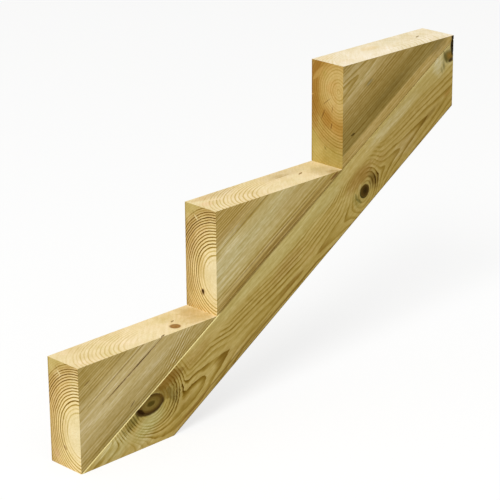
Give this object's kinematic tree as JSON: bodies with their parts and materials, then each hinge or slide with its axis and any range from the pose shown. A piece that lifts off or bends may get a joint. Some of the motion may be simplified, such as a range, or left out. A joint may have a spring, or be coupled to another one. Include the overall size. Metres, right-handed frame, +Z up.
{
  "type": "stair stringer",
  "caption": "Open timber stair stringer: sloping carrier board with triangular step blocks glued along its top edge, cut level at the foot and plumb at the head to carry outdoor treads.",
  "frame": {"origin": "centre of the level cut that stands on the ground", "axes": "+X up the stair towards the plumb cut at the head, +Y across the thickness, +Z up"},
  "size_m": [0.857, 0.07, 0.525],
  "materials": {
    "treated_softwood": "planed and pressure treated, matte, with sawn end cuts",
    "wood_glue": "cured wood glue, satin"
  },
  "bodies": {
    "root": {"carrier_board": "treated_softwood", "lower_step_block": "treated_softwood", "middle_step_block": "treated_softwood", "upper_step_block": "treated_softwood", "lower_glue_line": "wood_glue", "middle_glue_line": "wood_glue", "upper_glue_line": "wood_glue"}
  },
  "joints": []
}
